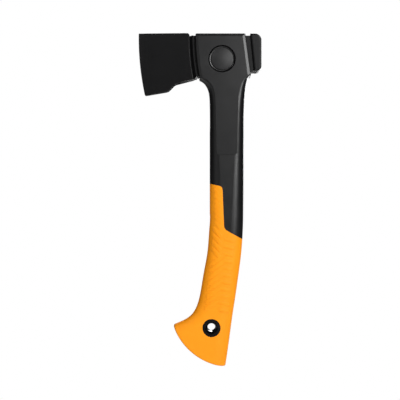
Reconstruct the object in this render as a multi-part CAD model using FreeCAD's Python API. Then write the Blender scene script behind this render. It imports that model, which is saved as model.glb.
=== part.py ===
"""Hatchet with a moulded handle and a push-on blade guard.

A forged steel head sits in the top of a hollow glass-filled nylon handle that is moulded round it.
Domed plugs close the bore by which the head is held in the mould. A butt insert closes the hollow
handle and makes the hook of the butt, a double-flared eyelet lines its lanyard hole, and a soft grip
is moulded over the lower handle and the insert. The guard slides forwards off the bit.

Millimetres. +Z up to the head, +X back to the poll, Y across the tool. The origin is on the shaft's
centreline at the middle of the hand's hold.
"""

import FreeCAD
import Part
import math
import os

V = FreeCAD.Vector
ACROSS = V(0, 1, 0)
FAR = 200.0  # cutters reach this far past the tool

# ---- cutting edge: an arc that places the bit, the housing's front and the guard ------------------
edge_x = -91.5  # where the arc stands furthest forward
edge_z = 241.0
edge_radius = 287.5
edge_half = 0.25

# ---- steel head, depths measured back from the cutting edge --------------------------------------
head_top_z = 242.0
bevel_depth = 7.5
bevel_half = 2.0
cheek_depth = 52.5
cheek_half = 7.6
ramp_run = 2.6  # from the cheek out to the strip beside the guard's rim
ramp_half = 11.4
ramp_land = 0.6
waist_half = 9.8
toe_x = -87.4
toe_z = 182.8
toe_round = 4.9
beard_front_x = -64.0
beard_front_z = 186.2
beard_back_x = -52.0
beard_back_z = 193.6
heel_x = -31.0
heel_z = 198.8
heel_drop = 3.8  # how far below the heel the beard's curve is drawn
tuck_x = -19.0
waist_bottom_z = 204.4
poll_half = 12.6
poll_x = 36.8
poll_front_top_x = 24.9
poll_front_foot_x = 29.0
poll_top_z = 244.0
poll_foot_z = 204.5
poll_top_corner = 7.0
poll_foot_corner = 5.3
poll_edge_round = 1.8

# ---- housing round the head ----------------------------------------------------------------------
housing_top_z = 243.9
housing_gap = 2.5  # the groove between the steel's strip and the housing's front
housing_foot_front_x = -29.0
housing_foot_front_z = 196.4
housing_foot_back_x = 25.6
housing_foot_back_z = 199.9
housing_top_back_x = 19.6
housing_half = 13.4
housing_round = 1.3
flare_step = 0.4  # the housing stands this far out of the flare below it

# ---- raised panel on both faces of the housing, with a tongue down the shaft -----------------------
panel_half = 14.2
panel_inset = 0.8
panel_bevel_width = 2.4
panel_bevel_depth = 0.7
panel_foot_half = 13.6
panel_foot_z = 115.6
panel_foot_corner = 2.6
tongue_half_width_foot = 10.9
tongue_half_width_top = 12.2
tongue_top_z = 175.0
shoulder_front_z = 197.2
shoulder_back_x = 24.2
shoulder_back_z = 200.9
panel_lean_z = 190.0  # below this the faces lean in towards the tongue's foot

# ---- shaft, grip and butt ------------------------------------------------------------------------
shaft_half_width = 18.0
shaft_half = 13.0
shaft_foot_z = 53.0  # the shaft runs straight from here to the foot of the flare
flare_foot_z = 140.0
grip_half = 12.4
butt_half = 11.2
butt_x = 5.3  # the butt's end is part of a cylinder across the tool, about this centre
butt_z = -44.5
butt_radius = 66.0
butt_round = 1.8
strip_top_z = 84.6
strip_foot_z = 40.9
collar_z = 25.2

# ---- walls of the mouldings ----------------------------------------------------------------------
grip_wall = 2.4
grip_end_wall = 3.5
core_wall = 3.0
hollow_top_z = 186.0
insert_split_z = -38.0  # where the butt insert meets the mouth of the core
insert_spigot = 14.0
insert_clearance = 0.15

# ---- lanyard eyelet ------------------------------------------------------------------------------
eyelet_x = -16.3
eyelet_z = -68.6
eyelet_radius = 9.6
eyelet_lip = 0.5
eyelet_waist_radius = 7.9
eyelet_waist_half = 5.0
lanyard_hole_radius = 4.1
lanyard_hole_half = 3.0

# ---- locating bore through the head, and the plugs that close it -----------------------------------
bore_x = -5.2
bore_z = 216.8
bore_radius = 8.0
cove_radius = 14.4
cove_depth = 2.6
plug_radius = 11.3
plug_gap = 0.1
plug_edge_half = 13.1
plug_crown_half = 14.9
plug_seat_depth = 1.0  # the plug's flange sits this far below the steel's face
plug_stem_length = 7.4
plug_stem_wall = 2.2
stem_clearance = 0.06

# ---- blade guard ---------------------------------------------------------------------------------
guard_wall = 1.7
guard_gap = 0.4
guard_front_gap = 1.0
guard_rear_gap = 0.6  # from the rear rim to the ramp behind the cheek
guard_top_front_z = 245.6
guard_top_rear_z = 244.9
guard_toe_x = -88.6
guard_toe_z = 178.5
guard_floor_back_x = -75.0
guard_step_front_x = -64.2
guard_step_front_z = 183.1
guard_step_back_x = -53.0
guard_step_back_z = 191.5
guard_heel_x = -33.4
guard_heel_z = 196.9
guard_corner = 1.6
guard_rear_corner = 2.6
guard_round = 0.9
guard_rib_gap = 0.15
guard_rib_width = 1.2
guard_rib_length = 22.0
guard_rib_z = (200.0, 214.0, 228.0)


# ---- places and depths that follow from the sizes --------------------------------------------------
def at(x, z, y=0.0):
    return V(x, y, z)


edge_centre = at(edge_x + edge_radius, edge_z)
ramp_depth = cheek_depth + ramp_run
groove_depth = ramp_depth + ramp_land
housing_front_depth = groove_depth + housing_gap
guard_depth = cheek_depth - guard_rear_gap
beard_front = at(beard_front_x, beard_front_z)
beard_back = at(beard_back_x, beard_back_z)
housing_foot_front = at(housing_foot_front_x, housing_foot_front_z)
housing_foot_back = at(housing_foot_back_x, housing_foot_back_z)
shoulder_back = at(shoulder_back_x, shoulder_back_z)
butt_centre = at(butt_x, butt_z)
eyelet_centre = at(eyelet_x, eyelet_z)
bore_centre = at(bore_x, bore_z)
guard_toe = at(guard_toe_x, guard_toe_z)
guard_step_front = at(guard_step_front_x, guard_step_front_z)
guard_step_back = at(guard_step_back_x, guard_step_back_z)
guard_heel = at(guard_heel_x, guard_heel_z)


# ---- helpers -------------------------------------------------------------------------------------

def bezier(*points):
    curve = Part.BezierCurve()
    curve.setPoles(list(points))
    return curve.toShape()


def chain(*points):
    """Straight edges through the points."""
    return [Part.makeLine(a, b) for a, b in zip(points, points[1:])]


def solid_of(shape):
    """The one solid in the result of a cut."""
    if len(shape.Solids) != 1:
        raise ValueError("expected one solid, found %d" % len(shape.Solids))
    return shape.Solids[0]


def slab(edges, half):
    """A closed outline in the XZ plane, made a solid from -half to +half across the tool."""
    solid = Part.Face(Part.Wire(Part.__sortEdges__(edges))).extrude(ACROSS * (2 * half))
    solid.translate(ACROSS * -half)
    return solid


def turned(edges, centre, angle=360):
    """A closed profile, x its radius and y its height, turned about an axis across the tool."""
    solid = Part.Face(Part.Wire(Part.__sortEdges__(edges))).revolve(V(), ACROSS, angle)
    solid.translate(centre)
    return solid


def bar(centre, radius, half=FAR):
    """A cylinder across the tool."""
    return Part.makeCylinder(radius, 2 * half, centre - ACROSS * half, ACROSS)


def band(low_z, high_z):
    """Everything between two heights."""
    return Part.makeBox(2 * FAR, 2 * FAR, high_z - low_z, at(-FAR, low_z, -FAR))


def mid_point(edge):
    return edge.valueAt((edge.FirstParameter + edge.LastParameter) / 2)


def rounded(solid, radius, chosen):
    """A fillet on every edge for which chosen(edge) holds."""
    return solid.makeFillet(radius, [e for e in solid.Edges if chosen(e)])


def runs_across(edge):
    """True for an edge parallel to Y."""
    a, b = edge.Vertexes[0].Point, edge.Vertexes[-1].Point
    return abs(a.y - b.y) > 1 and (a - b).cross(ACROSS).Length < 1e-6


def lies_at(edge, half):
    """True for an edge in the plane at that distance to either side."""
    return abs(abs(edge.CenterOfMass.y) - half) < 1e-6


def edge_distance(edge):
    """How far an edge's middle lies from the axis of the cutting edge's arc."""
    out = mid_point(edge) - edge_centre
    return (out - ACROSS * out.y).Length


def on_arc(depth, z):
    """The point at a height that lies a depth behind the cutting edge."""
    forward = math.sqrt((edge_radius - depth) ** 2 - (z - edge_centre.z) ** 2)
    return at(edge_centre.x - forward, z)


def wedge_about_edge(profile, back_depth):
    """The bit's cross-section, as (depth, half) pairs, swept round the cutting edge's centre."""
    upper = [V(edge_radius - depth, half, 0) for depth, half in profile]
    upper.append(V(edge_radius - back_depth, profile[-1][1], 0))
    lower = [V(p.x, -p.y, 0) for p in reversed(upper)]
    return turned(chain(*upper, *lower, upper[0]), edge_centre)


# ---- steel head ----------------------------------------------------------------------------------
def bit_profile(outset=0.0):
    return [
        (0.0, edge_half + outset),
        (bevel_depth, bevel_half + outset),
        (cheek_depth, cheek_half + outset),
    ]


def head_outline():
    """The side view of the bit, beard and waist. The cutting edge's arc trims its front."""
    front_x, back_x = edge_x - cheek_half, poll_front_foot_x + poll_edge_round
    toe_start, toe_end = at(toe_x + toe_round, toe_z), at(toe_x, toe_z + toe_round)
    heel, tuck = at(heel_x, heel_z), at(tuck_x, waist_bottom_z)
    step = beard_back - beard_front
    pull = at(0.38 * step.x, 0.12 * step.z)
    return [
        bezier(toe_start, at(toe_x + 0.3 * toe_round, toe_z), toe_end),
        *chain(toe_end, at(front_x, head_top_z), at(back_x, head_top_z), at(back_x, waist_bottom_z), tuck),
        bezier(tuck, at((tuck_x + heel_x) / 2, waist_bottom_z), at((tuck_x + heel_x) / 2, heel_z), heel),
        bezier(heel, at(heel_x - heel_drop, heel_z - heel_drop), beard_back),
        bezier(beard_back, beard_back - pull, beard_front + pull, beard_front),
        *chain(beard_front, toe_start),
    ]


def poll():
    top, foot = at(poll_front_top_x, poll_top_z), at(poll_front_foot_x, poll_foot_z)
    block = slab(chain(top, at(poll_x, poll_top_z), at(poll_x, poll_foot_z), foot, top), poll_half)
    for z, corner in ((poll_top_z, poll_top_corner), (poll_foot_z, poll_foot_corner)):
        back = at(poll_x, z)
        block = rounded(block, corner, lambda e: runs_across(e) and (e.CenterOfMass - back).Length < 1)
    return rounded(block, poll_edge_round, lambda e: lies_at(e, poll_half))


def axe_head():
    profile = bit_profile() + [
        (ramp_depth, ramp_half),
        (groove_depth, ramp_half),
        (groove_depth, waist_half),
    ]
    wedge = wedge_about_edge(profile, housing_front_depth + bore_radius)
    waist = bar(edge_centre, edge_radius - housing_front_depth, waist_half)
    head = wedge.fuse(waist).common(slab(head_outline(), FAR)).fuse(poll())
    return solid_of(head.cut(bar(bore_centre, bore_radius)).removeSplitter())


# ---- plugs of the locating bore ------------------------------------------------------------------
def bore_plug(side):
    """A domed plug; its stem reaches into the steel's bore. side is -1 or +1 along Y."""
    rim = plug_radius - plug_gap
    stem = bore_radius - stem_clearance
    core = stem - plug_stem_wall
    stem_end = waist_half - plug_stem_length
    crown = V(0, plug_crown_half, 0)
    shoulder = V(rim, plug_edge_half, 0)
    dome_half = (plug_crown_half * 3 + plug_edge_half) / 4
    dome = Part.Arc(crown, V(rim / 2, dome_half, 0), shoulder).toShape()
    walls = chain(
        shoulder,
        V(rim, waist_half, 0),
        V(stem, waist_half, 0),
        V(stem, stem_end, 0),
        V(core, stem_end, 0),
        V(core, waist_half, 0),
        V(0, waist_half, 0),
        crown,
    )
    plug = turned([dome, *walls], bore_centre)
    return plug if side > 0 else plug.mirror(V(), ACROSS)


def plug_seats():
    """Both plug holes, with the polished cove round each, and the bore through between them."""
    reach = cove_radius - plug_radius
    foot = V(plug_radius, panel_half - cove_depth, 0)
    belly = V(plug_radius + 0.74 * reach, foot.y + 0.19 * reach, 0)
    top = V(cove_radius, panel_half + plug_gap, 0)
    cove = Part.Arc(foot, belly, top).toShape()
    low = waist_half - plug_seat_depth
    walls = chain(top, V(cove_radius, FAR, 0), V(0, FAR, 0), V(0, low, 0), V(plug_radius, low, 0), foot)
    seat = turned([cove, *walls], bore_centre)
    return [seat, seat.mirror(V(), ACROSS), bar(bore_centre, bore_radius, waist_half)]


# ---- handle --------------------------------------------------------------------------------------
def section(front, back, half, run, rise):
    """A ring round the handle: flats joined by curved corners, run along the width and rise across."""
    along = (back - front).normalize()
    middle = (front + back) * 0.5
    reach = (back - front).Length / 2
    corners = []
    for s, t in ((1, 1), (-1, 1), (-1, -1), (1, -1)):
        steps = (
            (reach, half - rise),
            (reach, half - 0.45 * rise),
            (reach - 0.45 * run, half),
            (reach - run, half),
        )
        curve = [middle + along * (s * x) + ACROSS * (t * y) for x, y in steps]
        corners.append(curve if s == t else curve[::-1])
    ring = []
    for curve, following in zip(corners, corners[1:] + corners[:1]):
        ring += [bezier(*curve), *chain(curve[-1], following[0])]
    return Part.Wire(ring)


def grip_stations():
    """Front point, back point, half thickness and corner run and rise, from the butt upwards."""
    w = shaft_half_width
    past_butt = [butt_centre - at(x, z) * butt_radius for x, z in ((1.146, 0.418), (0.126, 1.159))]
    return [
        (*past_butt, butt_half, 15.0, 9.0),
        (at(-57.3, -66.7), at(0.6, -97.0), butt_half, 15.0, 9.0),
        (at(-47.7, -62.5), at(2.6, -83.0), butt_half, 15.0, 9.0),
        (at(-39.8, -57.8), at(4.4, -69.5), butt_half, 14.5, 9.2),
        (at(-34.1, -51.0), at(6.2, -56.5), butt_half + 0.2, 14.0, 9.6),
        (at(-30.0, -40.7), at(8.3, -43.0), butt_half + 0.6, 14.0, 10.2),
        (at(-25.9, -19.2), at(11.7, -20.0), grip_half, 14.0, 11.0),
        (at(-22.0, 2.2), at(14.7, 2.0), grip_half + 0.2, 14.0, 11.2),
        (at(-19.4, 23.7), at(16.8, 24.0), grip_half + 0.4, 13.5, 11.2),
        (at(-w - 0.35, 38.0), at(w - 0.5, 38.0), shaft_half, 13.0, 11.2),
        (at(-w, shaft_foot_z), at(w - 0.2, shaft_foot_z), shaft_half, 12.5, 11.0),
    ]


def flare_stations():
    """The same, from the shaft's straight part up to the housing's foot."""
    w = shaft_half_width
    half = housing_half - flare_step
    front, back = housing_foot_front + at(flare_step, 0), housing_foot_back - at(flare_step, 0)
    return [
        (at(-w, flare_foot_z), at(w + 0.5, flare_foot_z), shaft_half, 9.5, 10.0),
        (at(-w, front.z - 28.4), at(w + 0.9, back.z - 31.9), shaft_half, 8.0, 9.5),
        (front + at(10.2, -18.4), back - at(5.8, 21.4), shaft_half, 7.0, 8.5),
        (front + at(9.0, -11.6), back - at(5.2, 13.9), shaft_half, 6.0, 7.0),
        (front + at(6.8, -6.4), back - at(4.4, 8.1), shaft_half, 4.8, 5.2),
        (front + at(4.7, -3.3), back - at(3.5, 4.2), half, 3.2, 3.2),
        (front, back, half, 1.6, 1.6),
    ]


def rings(stations, inset):
    """The stations' sections, drawn in by an inset all round."""
    drawn = []
    for front, back, half, run, rise in stations:
        inward = (back - front).normalize() * inset
        small = max(run - inset, 1.2), max(rise - inset, 1.2)
        drawn.append(section(front + inward, back - inward, half - inset, *small))
    return drawn


def handle_outline():
    """The outside of the shaft, flare and butt: two smooth lofts with a straight one between."""
    grip_rings, flare_rings = rings(grip_stations(), 0), rings(flare_stations(), 0)
    grip = Part.makeLoft(grip_rings, True, False, False, 3)
    shaft = Part.makeLoft([grip_rings[-1], flare_rings[0]], True, True)
    flare = Part.makeLoft(flare_rings, True, False, False, 3)
    return grip.fuse([shaft, flare])


def handle_inside(inset):
    """A hidden face of the handle's walls, this far in. It runs straight from station to station."""
    return Part.makeLoft(rings(grip_stations() + flare_stations(), inset), True, True)


def butt_room(inset):
    """All that the butt's round end leaves."""
    above_axis = band(butt_centre.z, butt_centre.z + 3 * FAR)
    return bar(butt_centre, butt_radius - inset).fuse(above_axis)


def grip_room():
    """The side view of the soft grip: a strip up the front and a collar round the back."""
    strip_front, strip_top = at(-shaft_half_width, strip_top_z), at(-8.6, strip_top_z - 2.2)
    strip_side, strip_foot = at(-4.5, strip_top_z - 8.2), at(-3.1, strip_foot_z)
    collar, collar_back = at(0.5, collar_z + 9.4), at(17.5, collar_z)
    return slab(
        [
            *chain(at(-FAR, strip_top_z), strip_front, strip_top),
            bezier(strip_top, strip_top + at(3.3, -0.7), strip_side + at(-0.2, 3.6), strip_side),
            *chain(strip_side, strip_foot),
            bezier(strip_foot, strip_foot - at(-0.1, 3.2), collar + at(-2.2, 1.2), collar),
            *chain(
                collar, collar_back, at(FAR, collar_z), at(FAR, -FAR), at(-FAR, -FAR), at(-FAR, strip_top_z)
            ),
        ],
        FAR,
    )


def grip_core():
    """What the soft grip is moulded over."""
    return handle_inside(grip_wall).common(butt_room(grip_end_wall))


def housing():
    top_back = at(housing_top_back_x, housing_top_z)
    top_front = at(edge_x, housing_top_z)
    foot_front = housing_foot_front - (housing_foot_back - housing_foot_front) * 0.5
    outline = chain(foot_front, housing_foot_back, top_back, top_front, foot_front)
    block = slab(outline, housing_half).common(bar(edge_centre, edge_radius - housing_front_depth))
    foot = (housing_foot_back - housing_foot_front).normalize()

    def off_the_foot(edge):
        out = edge.CenterOfMass - housing_foot_front
        return (out - foot * out.dot(foot) - ACROSS * out.y).Length > 0.1

    return rounded(solid_of(block), housing_round, off_the_foot)


def panel_outline():
    inset, low, high, corner = panel_inset, tongue_half_width_foot, tongue_half_width_top, panel_foot_corner
    front_depth, top_z = housing_front_depth + inset, housing_top_z - inset
    top_left, top_right = on_arc(front_depth, top_z), at(housing_top_back_x - inset, top_z)
    shoulder_front = on_arc(front_depth, shoulder_front_z)
    front_middle = on_arc(front_depth, (shoulder_front_z + top_z) / 2)
    tongue_left, tongue_right = at(-high, tongue_top_z), at(high, tongue_top_z)
    foot_left, foot_right = at(-low, panel_foot_z + corner), at(low, panel_foot_z + corner)
    base_left, base_right = at(-low + corner, panel_foot_z), at(low - corner, panel_foot_z)
    return [
        Part.Arc(top_left, front_middle, shoulder_front).toShape(),
        bezier(shoulder_front, shoulder_front + at(9.5, -1.4), tongue_left + at(-0.4, 12.0), tongue_left),
        *chain(tongue_left, foot_left),
        bezier(foot_left, at(-low, panel_foot_z), base_left),
        *chain(base_left, base_right),
        bezier(base_right, at(low, panel_foot_z), foot_right),
        *chain(foot_right, tongue_right),
        bezier(tongue_right, tongue_right + at(0.7, 15.0), shoulder_back - at(6.4, 4.3), shoulder_back),
        *chain(shoulder_back, top_right, top_left),
    ]


def panel():
    """The raised panel of both faces: one slab, bevelled above its shoulders, that thins to its foot."""
    block = slab(panel_outline(), panel_half)
    rims = [e for e in block.Edges if lies_at(e, panel_half) and e.CenterOfMass.z > shoulder_back.z]
    block = block.makeChamfer(panel_bevel_depth, panel_bevel_width, rims)
    side = [
        at(-FAR, panel_foot_z, panel_foot_half),
        at(-FAR, panel_lean_z, panel_half),
        at(-FAR, 2 * FAR, panel_half),
    ]
    other = [V(p.x, -p.y, p.z) for p in reversed(side)]
    faces = Part.Face(Part.Wire(chain(*side, *other, side[0]))).extrude(V(2 * FAR, 0, 0))
    return solid_of(block.common(faces))


def handle_outside():
    return handle_outline().common(butt_room(0)).fuse([housing(), panel()])


def handle_core(head):
    soft = grip_room().cut(handle_inside(grip_wall))
    hollow = handle_inside(grip_wall + core_wall).common(band(-FAR, hollow_top_z))
    core = handle_outside().cut([soft, hollow, head, *plug_seats()])
    return solid_of(core.common(band(insert_split_z, FAR * 2)))


def butt_insert():
    outside = grip_core().common(band(-FAR, insert_split_z))
    low, high = insert_split_z - core_wall, insert_split_z + insert_spigot
    spigot = handle_inside(grip_wall + core_wall + insert_clearance).common(band(low, high))
    return solid_of(outside.fuse(spigot).cut(eyelet_blank()))


def eyelet_blank():
    """The eyelet's outside, longer than the butt is thick."""
    outer, waist = eyelet_radius, eyelet_waist_radius
    low, high = eyelet_waist_half, eyelet_waist_half + (outer - waist)
    end = butt_half + outer - waist
    points = [
        V(outer, end, 0), V(outer, high, 0), V(waist, low, 0),
        V(waist, -low, 0), V(outer, -high, 0), V(outer, -end, 0),
    ]
    return turned(chain(*points, V(0, -end, 0), V(0, end, 0), points[0]), eyelet_centre)


def lanyard_eyelet():
    """A double-flared tube, its two mouths trimmed to the sides of the butt."""
    mouth, throat, half = eyelet_radius - eyelet_lip, lanyard_hole_radius, lanyard_hole_half
    end = butt_half + 1.5
    upper = [
        V(throat, half, 0),
        V(throat, half + 0.62 * (end - half), 0),
        V(throat + 0.35 * (mouth - throat), end - 0.17 * (end - half), 0),
        V(mouth, end, 0),
    ]
    lower = [V(p.x, -p.y, 0) for p in reversed(upper)]
    bore = turned(
        [
            bezier(*upper),
            *chain(upper[-1], V(0, end, 0), V(0, -end, 0), lower[0]),
            bezier(*lower),
            *chain(lower[-1], upper[0]),
        ],
        eyelet_centre,
    )
    return solid_of(eyelet_blank().common(handle_outline()).cut(bore))


def on_butt_end(edge):
    """True for an edge where the butt's round end meets its sides."""
    ends = edge.valueAt(edge.FirstParameter), edge.valueAt(edge.LastParameter)
    return all(
        abs((p - butt_centre - ACROSS * p.y).Length - butt_radius) < 0.01 for p in (*ends, mid_point(edge))
    )


def grip_sleeve():
    body = rounded(solid_of(handle_outline().common(butt_room(0))), butt_round, on_butt_end)
    soft = grip_room().cut(grip_core())
    return solid_of(body.common(soft).cut(eyelet_blank()))


# ---- blade guard ---------------------------------------------------------------------------------
def guard_outline():
    """The side view below the guard's top and in front of its rear rim, which runs on past both."""
    step = guard_step_back - guard_step_front
    pull = at(0.42 * step.x, 0.14 * step.z)
    top_front, top_rear = at(edge_x, guard_top_front_z), on_arc(guard_depth, guard_top_rear_z)
    beyond = (top_rear - top_front) * 0.5
    heel_out = guard_heel + (guard_heel - guard_step_back)
    toe_out = guard_toe + (guard_toe - guard_step_front)
    return [
        *chain(guard_step_front, toe_out, top_front - beyond, top_rear + beyond, heel_out, guard_step_back),
        bezier(guard_step_back, guard_step_back - pull, guard_step_front + pull, guard_step_front),
    ]


def guard_shell():
    outset = guard_gap + guard_wall
    front = guard_front_gap + guard_wall
    rear = edge_radius - guard_depth
    profile = [(-front, edge_half + outset)] + bit_profile(outset)[1:]
    shell = wedge_about_edge(profile, ramp_depth).common(slab(guard_outline(), FAR))
    shell = solid_of(shell.cut(bar(edge_centre, rear)))
    toe, rear_top = on_arc(-front, guard_toe.z), on_arc(guard_depth, guard_top_rear_z)
    shell = rounded(shell, guard_corner, lambda e: runs_across(e) and (e.CenterOfMass - toe).Length < 2)
    shell = rounded(
        shell, guard_rear_corner, lambda e: runs_across(e) and (e.CenterOfMass - rear_top).Length < 1
    )
    return rounded(
        shell, guard_round, lambda e: not runs_across(e) and abs(edge_distance(e) - rear) > 0.01
    )


def guard_cavity():
    """The room for the bit, with three ribs on each side left standing to grip the cheeks."""
    clear = [(-guard_front_gap, edge_half + guard_gap)] + bit_profile(guard_gap)[1:]
    ceiling, floor = head_top_z + guard_gap, toe_z - guard_gap
    front_x, below = edge_x - guard_wall - guard_front_gap, guard_toe.z - guard_wall
    inside = slab(
        chain(
            at(front_x, ceiling), at(0, ceiling), at(0, below), at(guard_floor_back_x, below),
            at(guard_floor_back_x, floor), at(front_x, floor), at(front_x, ceiling),
        ),
        FAR,
    )
    gripped = [(-guard_front_gap, edge_half)] + bit_profile(guard_rib_gap)[1:]
    rib_room = bar(edge_centre, edge_radius - guard_depth + guard_rib_length)
    rib_room = rib_room.cut(wedge_about_edge(gripped, ramp_depth))
    ribs = [rib_room.common(band(z - guard_rib_width / 2, z + guard_rib_width / 2)) for z in guard_rib_z]
    return wedge_about_edge(clear, ramp_depth).common(inside).cut(ribs)


def blade_guard():
    return solid_of(guard_shell().cut(guard_cavity()))


def build():
    head = axe_head()
    return {
        "axe_head": head,
        "handle_core": handle_core(head),
        "bore_plug_left": bore_plug(-1),
        "bore_plug_right": bore_plug(1),
        "butt_insert": butt_insert(),
        "lanyard_eyelet": lanyard_eyelet(),
        "grip_sleeve": grip_sleeve(),
        "blade_guard": blade_guard(),
    }


os.makedirs("parts", exist_ok=True)
for node, shape in build().items():
    shape.exportStep("parts/%s.step" % node)
    box = shape.BoundBox
    size = (box.XMin, box.XMax, box.YMin, box.YMax, box.ZMin, box.ZMax)
    print(node, "%.1f %.1f  %.1f %.1f  %.1f %.1f" % size, round(shape.Volume), shape.isValid())
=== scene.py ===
# %% [markdown]
# # A small hatchet with its blade guard on
#
# The hatchet is as long as a forearm: a forged steel head held in a hollow moulded handle, a soft
# orange grip with a hooked butt, and a black guard pushed over the bit. The solid model gives every
# piece its true size and place, so this lesson adds what a solid model lacks: the ribs that the
# fingers feel, six finishes, and light. All lengths are in metres.

# %% Load the solid model
import math

import bmesh
import bpy
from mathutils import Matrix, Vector


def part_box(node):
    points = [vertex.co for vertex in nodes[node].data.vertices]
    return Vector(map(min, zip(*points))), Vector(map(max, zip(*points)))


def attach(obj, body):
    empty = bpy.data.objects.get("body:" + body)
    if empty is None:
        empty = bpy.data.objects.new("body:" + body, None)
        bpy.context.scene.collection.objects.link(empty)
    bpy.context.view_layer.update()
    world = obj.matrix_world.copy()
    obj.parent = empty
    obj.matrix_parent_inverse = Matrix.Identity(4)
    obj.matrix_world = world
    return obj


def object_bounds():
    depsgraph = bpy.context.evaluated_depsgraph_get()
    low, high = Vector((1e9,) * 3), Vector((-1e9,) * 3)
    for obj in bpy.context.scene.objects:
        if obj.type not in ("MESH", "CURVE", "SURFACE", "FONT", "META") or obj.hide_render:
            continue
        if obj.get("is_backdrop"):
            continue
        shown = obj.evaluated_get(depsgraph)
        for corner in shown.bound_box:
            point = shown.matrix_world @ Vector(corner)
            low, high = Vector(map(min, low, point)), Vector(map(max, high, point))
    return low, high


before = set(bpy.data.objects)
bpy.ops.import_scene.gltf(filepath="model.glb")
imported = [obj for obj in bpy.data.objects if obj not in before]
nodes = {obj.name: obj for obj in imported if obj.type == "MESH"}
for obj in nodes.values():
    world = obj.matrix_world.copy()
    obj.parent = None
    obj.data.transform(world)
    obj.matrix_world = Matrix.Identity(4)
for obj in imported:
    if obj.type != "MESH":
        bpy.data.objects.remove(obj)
solid_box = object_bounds()
mm = 0.001
print("pieces:", ", ".join(sorted(nodes)))

# %% [markdown]
# ## Where things are
#
# The camera and the lamps stand at distances from the middle of the solid model, and the polished
# ring is drawn round the axis of the plugs, so all of them still fit when the model moves.

# %% Landmarks
low, high = (Vector(corner) for corner in solid_box)
middle = (low + high) / 2
plug_low, plug_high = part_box("bore_plug_left")
plug_centre = (Vector(plug_low) + Vector(plug_high)) / 2
print("middle of the tool, mm:", [round(c / mm, 1) for c in middle])
print("axis of the plugs, mm:", [round(c / mm, 1) for c in plug_centre])

# %% [markdown]
# ## Writing shader maths as plain Python
#
# A material is a graph of nodes. Building it by hand takes a line for each node and each link, and
# the formula gets lost. The small class below wraps one socket and gives it +, -, * and so on, so
# an expression such as `1 - mask * 0.3` adds its own Math nodes.


# %% One socket with arithmetic
class Value:
    """One output socket of a graph, on which arithmetic adds Math nodes."""

    def __init__(self, graph, socket):
        self.graph = graph
        self.socket = socket

    def math(self, operation, *operands):
        inputs = dict(enumerate(operands))
        return self.graph.node("ShaderNodeMath", {"operation": operation}, inputs)

    def __add__(self, other):
        return self.math("ADD", self, other)

    def __sub__(self, other):
        return self.math("SUBTRACT", self, other)

    def __rsub__(self, other):
        return self.math("SUBTRACT", other, self)

    def __mul__(self, other):
        return self.math("MULTIPLY", self, other)

    __radd__ = __add__
    __rmul__ = __mul__

    def power(self, exponent):
        return self.math("POWER", self, exponent)

    def size(self):
        return self.math("ABSOLUTE", self)

    def between(self, start, end):
        """0 at start and 1 at end, with soft ends."""
        settings = {"interpolation_type": "SMOOTHSTEP"}
        return self.graph.node("ShaderNodeMapRange", settings, {0: self, 1: start, 2: end})


# %% [markdown]
# ## One method for every other node
#
# All that a node needs is its type, its settings and what goes into its sockets. `Graph.node` takes
# just that, for shader trees and Geometry Nodes alike.


# %% A tree that grows node by node
class Graph:
    """A node tree that is built one node at a time."""

    def __init__(self, tree):
        self.tree = tree
        self.tree.nodes.clear()

    def node(self, kind, settings=None, inputs=None, out=0):
        """Adds any node: its settings first, then the values or links of its sockets."""
        made = self.tree.nodes.new(kind)
        for key, value in (settings or {}).items():
            setattr(made, key, value)
        for key, value in (inputs or {}).items():
            self.set(made.inputs[key], value)
        return Value(self, made.outputs[out]) if made.outputs else made

    def set(self, socket, value):
        if isinstance(value, Value):
            self.tree.links.new(value.socket, socket)
        else:
            socket.default_value = value

    def vector(self, x, y, z):
        return self.node("ShaderNodeCombineXYZ", inputs={0: x, 1: y, 2: z})


# %% [markdown]
# ## A finish is a graph with one shader
#
# Every material here is a moulding or a coated forging, so one Principled shader is enough. Patterns
# are laid out on Object coordinates, in metres, because the pieces carry no unwrapped surface, and
# so a grain of a tenth of a millimetre is that size on every piece.


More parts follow.
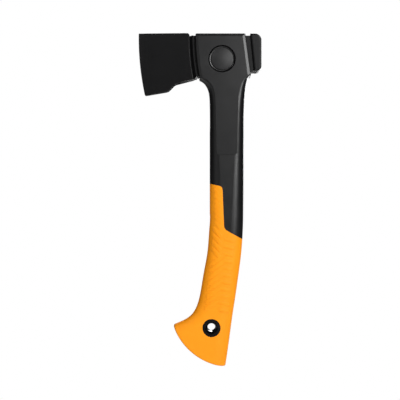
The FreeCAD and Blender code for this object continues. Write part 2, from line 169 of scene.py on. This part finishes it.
# %% Finish
class Finish(Graph):
    """A material with one Principled shader."""

    def __init__(self, name):
        self.material = bpy.data.materials.new(name)
        self.material.use_nodes = True
        super().__init__(self.material.node_tree)
        self.shader = self.tree.nodes.new("ShaderNodeBsdfPrincipled")
        self.output = self.tree.nodes.new("ShaderNodeOutputMaterial")
        self.tree.links.new(self.shader.outputs[0], self.output.inputs[0])

    def shade(self, **sockets):
        """Sets sockets of the Principled shader: Base_Color=..., Roughness=..."""
        for key, value in sockets.items():
            self.set(self.shader.inputs[key.replace("_", " ")], value)

    def place(self, scale=(1.0, 1.0, 1.0)):
        """Where a point is on the piece, in metres, stretched by a scale along each axis."""
        point = self.node("ShaderNodeTexCoord", out="Object")
        if scale == (1.0, 1.0, 1.0):
            return point
        return self.node("ShaderNodeVectorMath", {"operation": "MULTIPLY"}, {0: point, 1: scale})

    def part(self, vector, axis):
        """The x, y or z of a vector: axis 0, 1 or 2."""
        return self.node("ShaderNodeSeparateXYZ", inputs={0: vector}, out=axis)

    def from_line(self, x, z):
        """How far a point lies from the line across the tool through (x, z)."""
        point = self.place()
        return ((self.part(point, 0) - x).power(2) + (self.part(point, 2) - z).power(2)).power(0.5)

    def noise(self, size, detail=2.0, at=None):
        """Soft random values from 0 to 1 whose blotches are about this many metres across."""
        vector = self.place() if at is None else at
        inputs = {"Vector": vector, "Scale": 1 / size, "Detail": detail, "Roughness": 0.55}
        return self.node("ShaderNodeTexNoise", {}, inputs)

    def drift(self, size):
        """Large soft blotches, for what changes slowly over a piece."""
        return self.noise(size, detail=3.0)

    def mix(self, factor, first, second):
        settings = {"data_type": "RGBA"}
        return self.node("ShaderNodeMix", settings, {0: factor, 6: first, 7: second}, out=2)

    def bump(self, height):
        """Raises the surface by a height in metres."""
        inputs = {"Height": height, "Distance": 1.0, "Strength": 1.0}
        self.shade(Normal=self.node("ShaderNodeBump", {}, inputs))

    def seam(self, width, height):
        """The witness line that the two halves of a mould leave along the tool's middle."""
        return self.part(self.place(), 1).size().between(width, 0.0) * height


# %% [markdown]
# ## Colours as they are seen
#
# A colour that is read off a swatch is a screen value. A shader wants linear light, so each one is
# turned once, here.


# %% Screen colour to linear light
def linear(red, green, blue):
    def turn(channel):
        c = channel / 255
        return c / 12.92 if c <= 0.04045 else ((c + 0.055) / 1.055) ** 2.4

    return (turn(red), turn(green), turn(blue), 1.0)


print("the grip's orange in linear light:", [round(c, 3) for c in linear(253, 153, 1)])

# %% [markdown]
# ## The moulded handle
#
# Glass-filled nylon is nearly black and takes the fine spark texture of its mould. Light slides off
# it in a broad soft streak, so the roughness stays in the middle and drifts a little from place to
# place, as the glass lies nearer to the surface in some. The cove round each plug is the one
# polished part of the mould: its steep outer wall gets a low roughness, by distance from the plug.

# %% Nylon
cove_foot, cove_rim = 12.8 * mm, 14.4 * mm
cove_blend = 0.2 * mm
texture_grain, texture_depth = 0.35 * mm, 0.02 * mm
seam_width, seam_height = 0.3 * mm, 0.05 * mm


def nylon_finish():
    finish = Finish("glass_filled_nylon")
    grain = finish.noise(texture_grain)
    drift = finish.drift(16 * mm)
    radius = finish.from_line(plug_centre.x, plug_centre.z)
    inner = radius.between(cove_foot - cove_blend, cove_foot)
    outer = radius.between(cove_rim + cove_blend, cove_rim)
    wall = inner * outer
    shade = finish.mix(drift, linear(9, 9, 10), linear(14, 14, 15))
    finish.shade(Base_Color=shade, Roughness=0.33 + drift * 0.08 - wall * 0.26)
    texture = grain * (1 - wall) * texture_depth
    finish.bump(texture + finish.seam(seam_width, seam_height))
    return finish.material


# %% [markdown]
# ## The plugs
#
# The domed disc in each face is taken as a plug from another mould, with a coarser texture. It looks
# a shade lighter than the handle because it scatters the light more evenly.


# %% Plugs
def plug_finish():
    finish = Finish("plug_nylon")
    grain = finish.noise(0.45 * mm)
    drift = finish.drift(12 * mm)
    shade = finish.mix(drift, linear(15, 15, 16), linear(19, 19, 20))
    finish.shade(Base_Color=shade, Roughness=0.52 + drift * 0.08)
    finish.bump(grain * (0.03 * mm))
    return finish.material


# %% [markdown]
# ## Coated steel with a ground edge
#
# The head is forged, then sprayed with a slick black coat, which leaves a faint orange-peel. The
# bevel is ground after coating, so it is bare metal with fine lines that run back from the edge.
# The edge is an arc about a line across the tool, and distance from that line tells the bevel from
# the coat. It shows only when the guard is slid off.

# %% Steel
edge_centre_x, edge_centre_z = 196 * mm, 241 * mm
edge_radius, bevel_depth = 287.5 * mm, 7.5 * mm
bevel_start, bevel_blend = edge_radius - bevel_depth, 0.3 * mm
along_the_tool = (0.06, 1.0, 1.0)
peel_depth, line_depth = 0.02 * mm, 0.01 * mm


def steel_finish():
    finish = Finish("coated_steel")
    peel = finish.noise(0.9 * mm)
    drift = finish.drift(22 * mm)
    reach = finish.from_line(edge_centre_x, edge_centre_z)
    ground = reach.between(bevel_start, bevel_start + bevel_blend)
    lines = finish.noise(0.25 * mm, 3.0, at=finish.place(along_the_tool))
    coat = finish.mix(drift, linear(9, 9, 10), linear(13, 13, 14))
    bare = finish.mix(lines, linear(118, 120, 123), linear(165, 167, 170))
    finish.shade(
        Base_Color=finish.mix(ground, coat, bare),
        Metallic=ground,
        Roughness=0.36 + drift * 0.08 - ground * 0.10 + ground * lines * 0.12,
        Specular_IOR_Level=0.25,
    )
    finish.bump(peel * (1 - ground) * peel_depth + lines * ground * line_depth)
    return finish.material


# %% [markdown]
# ## The guard
#
# The guard is a plain thin-walled moulding, the blackest piece. It is pushed on and pulled off in
# one direction, so faint rubs run forwards and back along it, a little shinier than the rest.


# %% Guard
def guard_finish():
    finish = Finish("guard_plastic")
    grain = finish.noise(texture_grain)
    drift = finish.drift(25 * mm)
    rubs = finish.noise(1.2 * mm, 2.0, at=finish.place((0.05, 1.0, 1.0))).between(0.55, 0.80)
    shade = finish.mix(drift, linear(6, 6, 7), linear(9, 9, 10))
    worn = drift * 0.08 - rubs * 0.08
    finish.shade(Base_Color=shade, Roughness=0.42 + worn, Specular_IOR_Level=0.22)
    finish.bump(grain * texture_depth + finish.seam(seam_width, seam_height))
    return finish.material


# %% [markdown]
# ## The soft grip
#
# The grip is a rubbery plastic, dull and saturated. Its colour drifts only slightly, and a fine
# pebble keeps the highlights broken up, so it never looks wet.


# %% Grip
def grip_finish():
    finish = Finish("soft_grip_rubber")
    pebble = finish.noise(0.5 * mm)
    drift = finish.drift(20 * mm)
    shade = finish.mix(drift, linear(252, 150, 0), linear(255, 157, 2))
    finish.shade(Base_Color=shade, Roughness=0.56 + drift * 0.10, Specular_IOR_Level=0.3)
    finish.bump(pebble * (0.03 * mm) + finish.seam(seam_width, 0.06 * mm))
    return finish.material


# %% [markdown]
# ## The eyelet
#
# The eyelet that lines the lanyard hole is polished, so a cord doesn't fray on it. A slight wander
# of the roughness is all that it needs.


# %% Eyelet
def eyelet_finish():
    finish = Finish("eyelet_gloss")
    drift = finish.noise(8 * mm)
    shade = finish.mix(drift, linear(9, 9, 10), linear(13, 13, 14))
    finish.shade(Base_Color=shade, Roughness=0.14 + drift * 0.06)
    return finish.material


# %% [markdown]
# ## Dressing the pieces
#
# The solids already have the right shape, so they keep their meshes and only take a finish.

# %% Which piece wears what
nylon, plug, soft = nylon_finish(), plug_finish(), grip_finish()
finishes = {
    "axe_head": steel_finish(),
    "handle_core": nylon,
    "bore_plug_left": plug,
    "bore_plug_right": plug,
    "butt_insert": nylon,
    "lanyard_eyelet": eyelet_finish(),
    "grip_sleeve": soft,
    "blade_guard": guard_finish(),
}
for name, material in finishes.items():
    slots = nodes[name].data.materials
    slots.clear()
    slots.append(material)
    print(name, "wears", material.name)

# %% [markdown]
# ## Ribs under the fingers
#
# The soft grip has low ribs in columns, like the barbs of a feather. Each rib is a flat lens in
# section that lies on a curved surface, and there are sixty of them, so they are made by a rule. A
# Geometry Nodes tree lays short lines along a spine, drops every point of them onto the sleeve with
# a ray, and sweeps the lens along each. The ribs keep one width from end to end, and their ends are
# capped, so every rib is a closed body. When the grip changes, the same rule lays them again.


# %% A tree with named inputs
class Shape(Graph):
    """A Geometry Nodes tree whose named inputs stand in `given`."""

    def __init__(self, name, inputs):
        super().__init__(bpy.data.node_groups.new(name, "GeometryNodeTree"))
        face = self.tree.interface
        self.names = {}
        for label, kind in inputs.items():
            self.names[label] = face.new_socket(label, in_out="INPUT", socket_type=kind).identifier
        face.new_socket("Geometry", in_out="OUTPUT", socket_type="NodeSocketGeometry")
        sockets = self.tree.nodes.new("NodeGroupInput").outputs
        self.given = {label: Value(self, sockets[label]) for label in inputs}

    def result(self, geometry, finish):
        """Ends the tree: real geometry, in one material."""
        real = self.node("GeometryNodeRealizeInstances", inputs={0: geometry})
        painted = self.node("GeometryNodeSetMaterial", inputs={"Geometry": real, "Material": finish})
        self.node("NodeGroupOutput", inputs={0: painted})

    def bake(self, name, **values):
        """One plain mesh made by the tree with these inputs."""
        holder = bpy.data.objects.new(name, bpy.data.meshes.new(name))
        bpy.context.scene.collection.objects.link(holder)
        modifier = holder.modifiers.new(name, "NODES")
        modifier.node_group = self.tree
        for label, value in values.items():
            modifier[self.names[label]] = value
        bpy.context.view_layer.update()
        graph = bpy.context.evaluated_depsgraph_get()
        mesh = bpy.data.meshes.new_from_object(holder.evaluated_get(graph))
        bpy.data.objects.remove(holder)
        return mesh


# %% [markdown]
# ## Where each rib runs
#
# A column of ribs is a row of equal leaning lines, like the rungs of a ladder pushed askew. One line
# is drawn once, at the origin, and put at every point of the spine as an instance, so a column needs
# only its two end points, a count, a length and a lean.


# %% Lines along a spine
def lines_on_spine(shape):
    """Short leaning lines, evenly spaced between two points in the tool's middle plane."""
    given, node = shape.given, shape.node
    spine = node(
        "GeometryNodeMeshLine", {"mode": "END_POINTS"},
        {"Count": given["Count"], "Start Location": given["First"], "Offset": given["Last"]},
    )
    half = given["Length"] * 0.5
    line = node(
        "GeometryNodeCurvePrimitiveLine",
        inputs={"Start": shape.vector(0 - half, 0.0, 0.0), "End": shape.vector(half, 0.0, 0.0)},
    )
    lean = shape.vector(0.0, 0 - given["Lean"], 0.0)
    laid = node(
        "GeometryNodeInstanceOnPoints", inputs={"Points": spine, "Instance": line, "Rotation": lean}
    )
    real = node("GeometryNodeRealizeInstances", inputs={0: laid})
    return node("GeometryNodeResampleCurve", inputs={"Curve": real, "Count": 15})


# %% [markdown]
# ## Down onto the grip
#
# In the mould the ribs are cut into a curved wall, so they follow the grip. Here every point of a
# line is sent towards the grip from outside, and it stays where it lands. It also keeps the normal
# of the surface there, so that the rib lies flat on the grip and doesn't stand on its edge.


# %% Dropped onto the sleeve
def dropped_on_sleeve(shape, lines):
    """The lines moved onto the sleeve from one side, each point keeping the surface's normal."""
    given, node = shape.given, shape.node
    settings = {"transform_space": "RELATIVE"}
    sleeve = node("GeometryNodeObjectInfo", settings, {0: given["Sleeve"]}, out="Geometry")
    place = node("GeometryNodeInputPosition")
    outside = shape.vector(0.0, given["Side"] * (40 * mm), 0.0)
    start = node("ShaderNodeVectorMath", {"operation": "ADD"}, {0: place, 1: outside})
    inward = shape.vector(0.0, 0 - given["Side"], 0.0)
    ray = node(
        "GeometryNodeRaycast",
        inputs={
            "Target Geometry": sleeve,
            "Source Position": start,
            "Ray Direction": inward,
            "Ray Length": 60 * mm,
        },
    ).socket.node
    hit, landed, normal = (
        Value(shape, ray.outputs[name]) for name in ("Is Hit", "Hit Position", "Hit Normal")
    )
    moved = node(
        "GeometryNodeSetPosition", inputs={"Geometry": lines, "Selection": hit, "Position": landed}
    )
    return node("GeometryNodeSetCurveNormal", {"mode": "FREE"}, {"Curve": moved, "Normal": normal})


# %% [markdown]
# ## The section of a rib
#
# A finger feels a low soft swelling and no sharp edge. So the section is a circle pressed flat: wide
# along the grip and low above it. Half of it lies under the skin, which leaves no gap below.


# %% Swept with a lens
def rib_column():
    shape = Shape("rib_column", {
        "Sleeve": "NodeSocketObject",
        "First": "NodeSocketVector",
        "Last": "NodeSocketVector",
        "Count": "NodeSocketInt",
        "Length": "NodeSocketFloat",
        "Lean": "NodeSocketFloat",
        "Width": "NodeSocketFloat",
        "Height": "NodeSocketFloat",
        "Side": "NodeSocketFloat",
        "Finish": "NodeSocketMaterial",
    })
    given, node = shape.given, shape.node
    lines = dropped_on_sleeve(shape, lines_on_spine(shape))
    circle = node("GeometryNodeCurvePrimitiveCircle", inputs={"Resolution": 14, "Radius": 1.0})
    lens_size = shape.vector(given["Height"], given["Width"] * 0.5, 1.0)
    lens = node("GeometryNodeTransform", inputs={"Geometry": circle, "Scale": lens_size})
    swept = node(
        "GeometryNodeCurveToMesh",
        inputs={"Curve": lines, "Profile Curve": lens, "Fill Caps": True},
    )
    smooth = node("GeometryNodeSetShadeSmooth", inputs={"Geometry": swept})
    shape.result(smooth, given["Finish"])
    return shape


# %% [markdown]
# ## Laying out the columns
#
# Four columns cover a face: long barbs that rise to the middle in the lower grip, barbs that fall to
# it above, finer ones up the strip, and short ones down the back. The two faces are alike.

# %% Columns on both faces
rib_width, rib_height = 4.4 * mm, 0.35 * mm
columns = [
    # first point (x, z), last point, how many, length, lean in degrees
    ((-10.0, 4.0), (-15.5, -44.0), 8, 19, 31),
    ((-10.4, 33.0), (-11.6, 11.0), 4, 13, -46),
    ((-10.8, 75.0), (-9.6, 41.0), 7, 9, -46),
    ((2.6, 25.0), (-2.8, -50.0), 11, 11, -12),
]


def baked_columns():
    tree = rib_column()
    for side in (-1.0, 1.0):
        for (x1, z1), (x2, z2), count, length, lean in columns:
            yield tree.bake(
                "ribs", Sleeve=nodes["grip_sleeve"], First=(x1 * mm, 0, z1 * mm),
                Last=(x2 * mm, 0, z2 * mm), Count=count, Length=length * mm, Lean=math.radians(lean),
                Width=rib_width, Height=rib_height, Side=side, Finish=soft,
            )


def joined(name, meshes):
    """One object from several meshes that share a material, with its faces turned outwards."""
    whole = bmesh.new()
    for mesh in meshes:
        whole.from_mesh(mesh)
    bmesh.ops.recalc_face_normals(whole, faces=whole.faces)
    target = bpy.data.meshes.new(name)
    whole.to_mesh(target)
    whole.free()
    target.materials.append(soft)
    made = bpy.data.objects.new(name, target)
    bpy.context.scene.collection.objects.link(made)
    return made


grip_ribs = joined("grip_ribs", baked_columns())
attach(grip_ribs, "hatchet")
print("grip ribs:", len(grip_ribs.data.polygons), "faces")
print("their size, mm:", [round(c / mm, 1) for c in grip_ribs.dimensions])

# %% [markdown]
# ## A pale floor that stays out of the picture
#
# The tool floats over a pale floor. To the camera both the floor and the sky are plain white, told
# by Is Camera Ray. To every other ray the floor is dull and pale, and the sky is nearly dark, so the
# black plastics keep black edges and only the softboxes draw streaks on them.


# %% Floor and sky
pale, white = (0.9, 0.9, 0.9, 1.0), (1.0, 1.0, 1.0, 1.0)
floor_size, floor_drop = 8.0, 0.25
dim_strength = 0.015


def floor():
    bpy.ops.mesh.primitive_plane_add(size=floor_size, location=(0, 0, low.z - floor_drop))
    plane = bpy.context.object
    plane.name = "floor"
    finish = Finish("pale_floor")
    finish.shade(Base_Color=pale, Roughness=0.9)
    seen = finish.node("ShaderNodeLightPath", out="Is Camera Ray")
    bright = finish.node("ShaderNodeEmission", inputs={"Strength": 1.0})
    dull = Value(finish, finish.shader.outputs[0])
    blend = finish.node("ShaderNodeMixShader", inputs={0: seen, 1: dull, 2: bright})
    finish.set(finish.output.inputs[0], blend)
    plane.data.materials.append(finish.material)
    plane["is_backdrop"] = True


def sky():
    bpy.context.scene.world = bpy.data.worlds.new("studio")
    bpy.context.scene.world.use_nodes = True
    graph = Graph(bpy.context.scene.world.node_tree)
    seen = graph.node("ShaderNodeLightPath", out="Is Camera Ray")
    dim = graph.node("ShaderNodeBackground", inputs={"Color": white, "Strength": dim_strength})
    plain = graph.node("ShaderNodeBackground", inputs={"Color": white, "Strength": 1.0})
    blend = graph.node("ShaderNodeMixShader", inputs={0: seen, 1: dim, 2: plain})
    graph.node("ShaderNodeOutputWorld", inputs={0: blend})


floor()
sky()
print("floor below the tool, mm:", round(floor_drop / mm))

# %% [markdown]
# ## Softboxes
#
# A black object is lit by what it reflects. The key stands to the right of the camera and draws the
# long streak down the shaft. The high one on the left lights the grip from the other side and puts
# a thin crescent in the polished cove. A wide dim one fills the hollow flank of the grip. The last
# stands straight behind the tool, so the far side is as readable as the near one. Moved out to
# either side it would graze the shaft and draw a pale rim along its edges.


# %% Softboxes
def softbox(name, place, width, height, power):
    lamp = bpy.data.lights.new(name, "AREA")
    lamp.shape = "RECTANGLE"
    lamp.size = width
    lamp.size_y = height
    lamp.energy = power
    box = bpy.data.objects.new(name, lamp)
    bpy.context.scene.collection.objects.link(box)
    box.location = middle + Vector(place)
    box.rotation_euler = (middle - box.location).to_track_quat("-Z", "Y").to_euler()
    print(name, power, "W")


softbox("key", (0.60, -1.0, 0.42), 0.52, 0.70, 14.2)
softbox("high_left", (-0.75, -0.62, 0.80), 0.40, 0.40, 4.4)
softbox("fill", (-0.8, -0.9, 0.0), 0.90, 0.90, 0.9)
softbox("back", (0.3, 1.1, 0.45), 0.80, 0.80, 16.0)

# %% [markdown]
# ## Camera
#
# The camera looks straight at the side of the tool from just under a metre, so the thick poll and
# the thin butt keep their proportions.


# %% Camera
def camera(distance, view_width):
    lens = bpy.data.cameras.new("camera")
    lens.sensor_width = 36.0
    lens.lens = lens.sensor_width * distance / view_width
    eye = bpy.data.objects.new("camera", lens)
    bpy.context.scene.collection.objects.link(eye)
    eye.location = middle + Vector((0.2 * mm, -distance, -0.5 * mm))
    eye.rotation_euler = (math.radians(90), 0, 0)
    bpy.context.scene.camera = eye
    print("lens, mm:", round(lens.lens, 1))


camera(0.96, 0.4294)
bpy.context.scene.view_settings.view_transform = "Standard"

# %% [markdown]
# ## Measure
#
# The box of the dressed tool is set beside that of the solid model, as plain numbers, so that the
# two can be compared.

# %% Sizes
visual_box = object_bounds()
boxes = {"solid": solid_box, "visual": visual_box}
plain = {key: [[float(c) for c in corner] for corner in box] for key, box in boxes.items()}
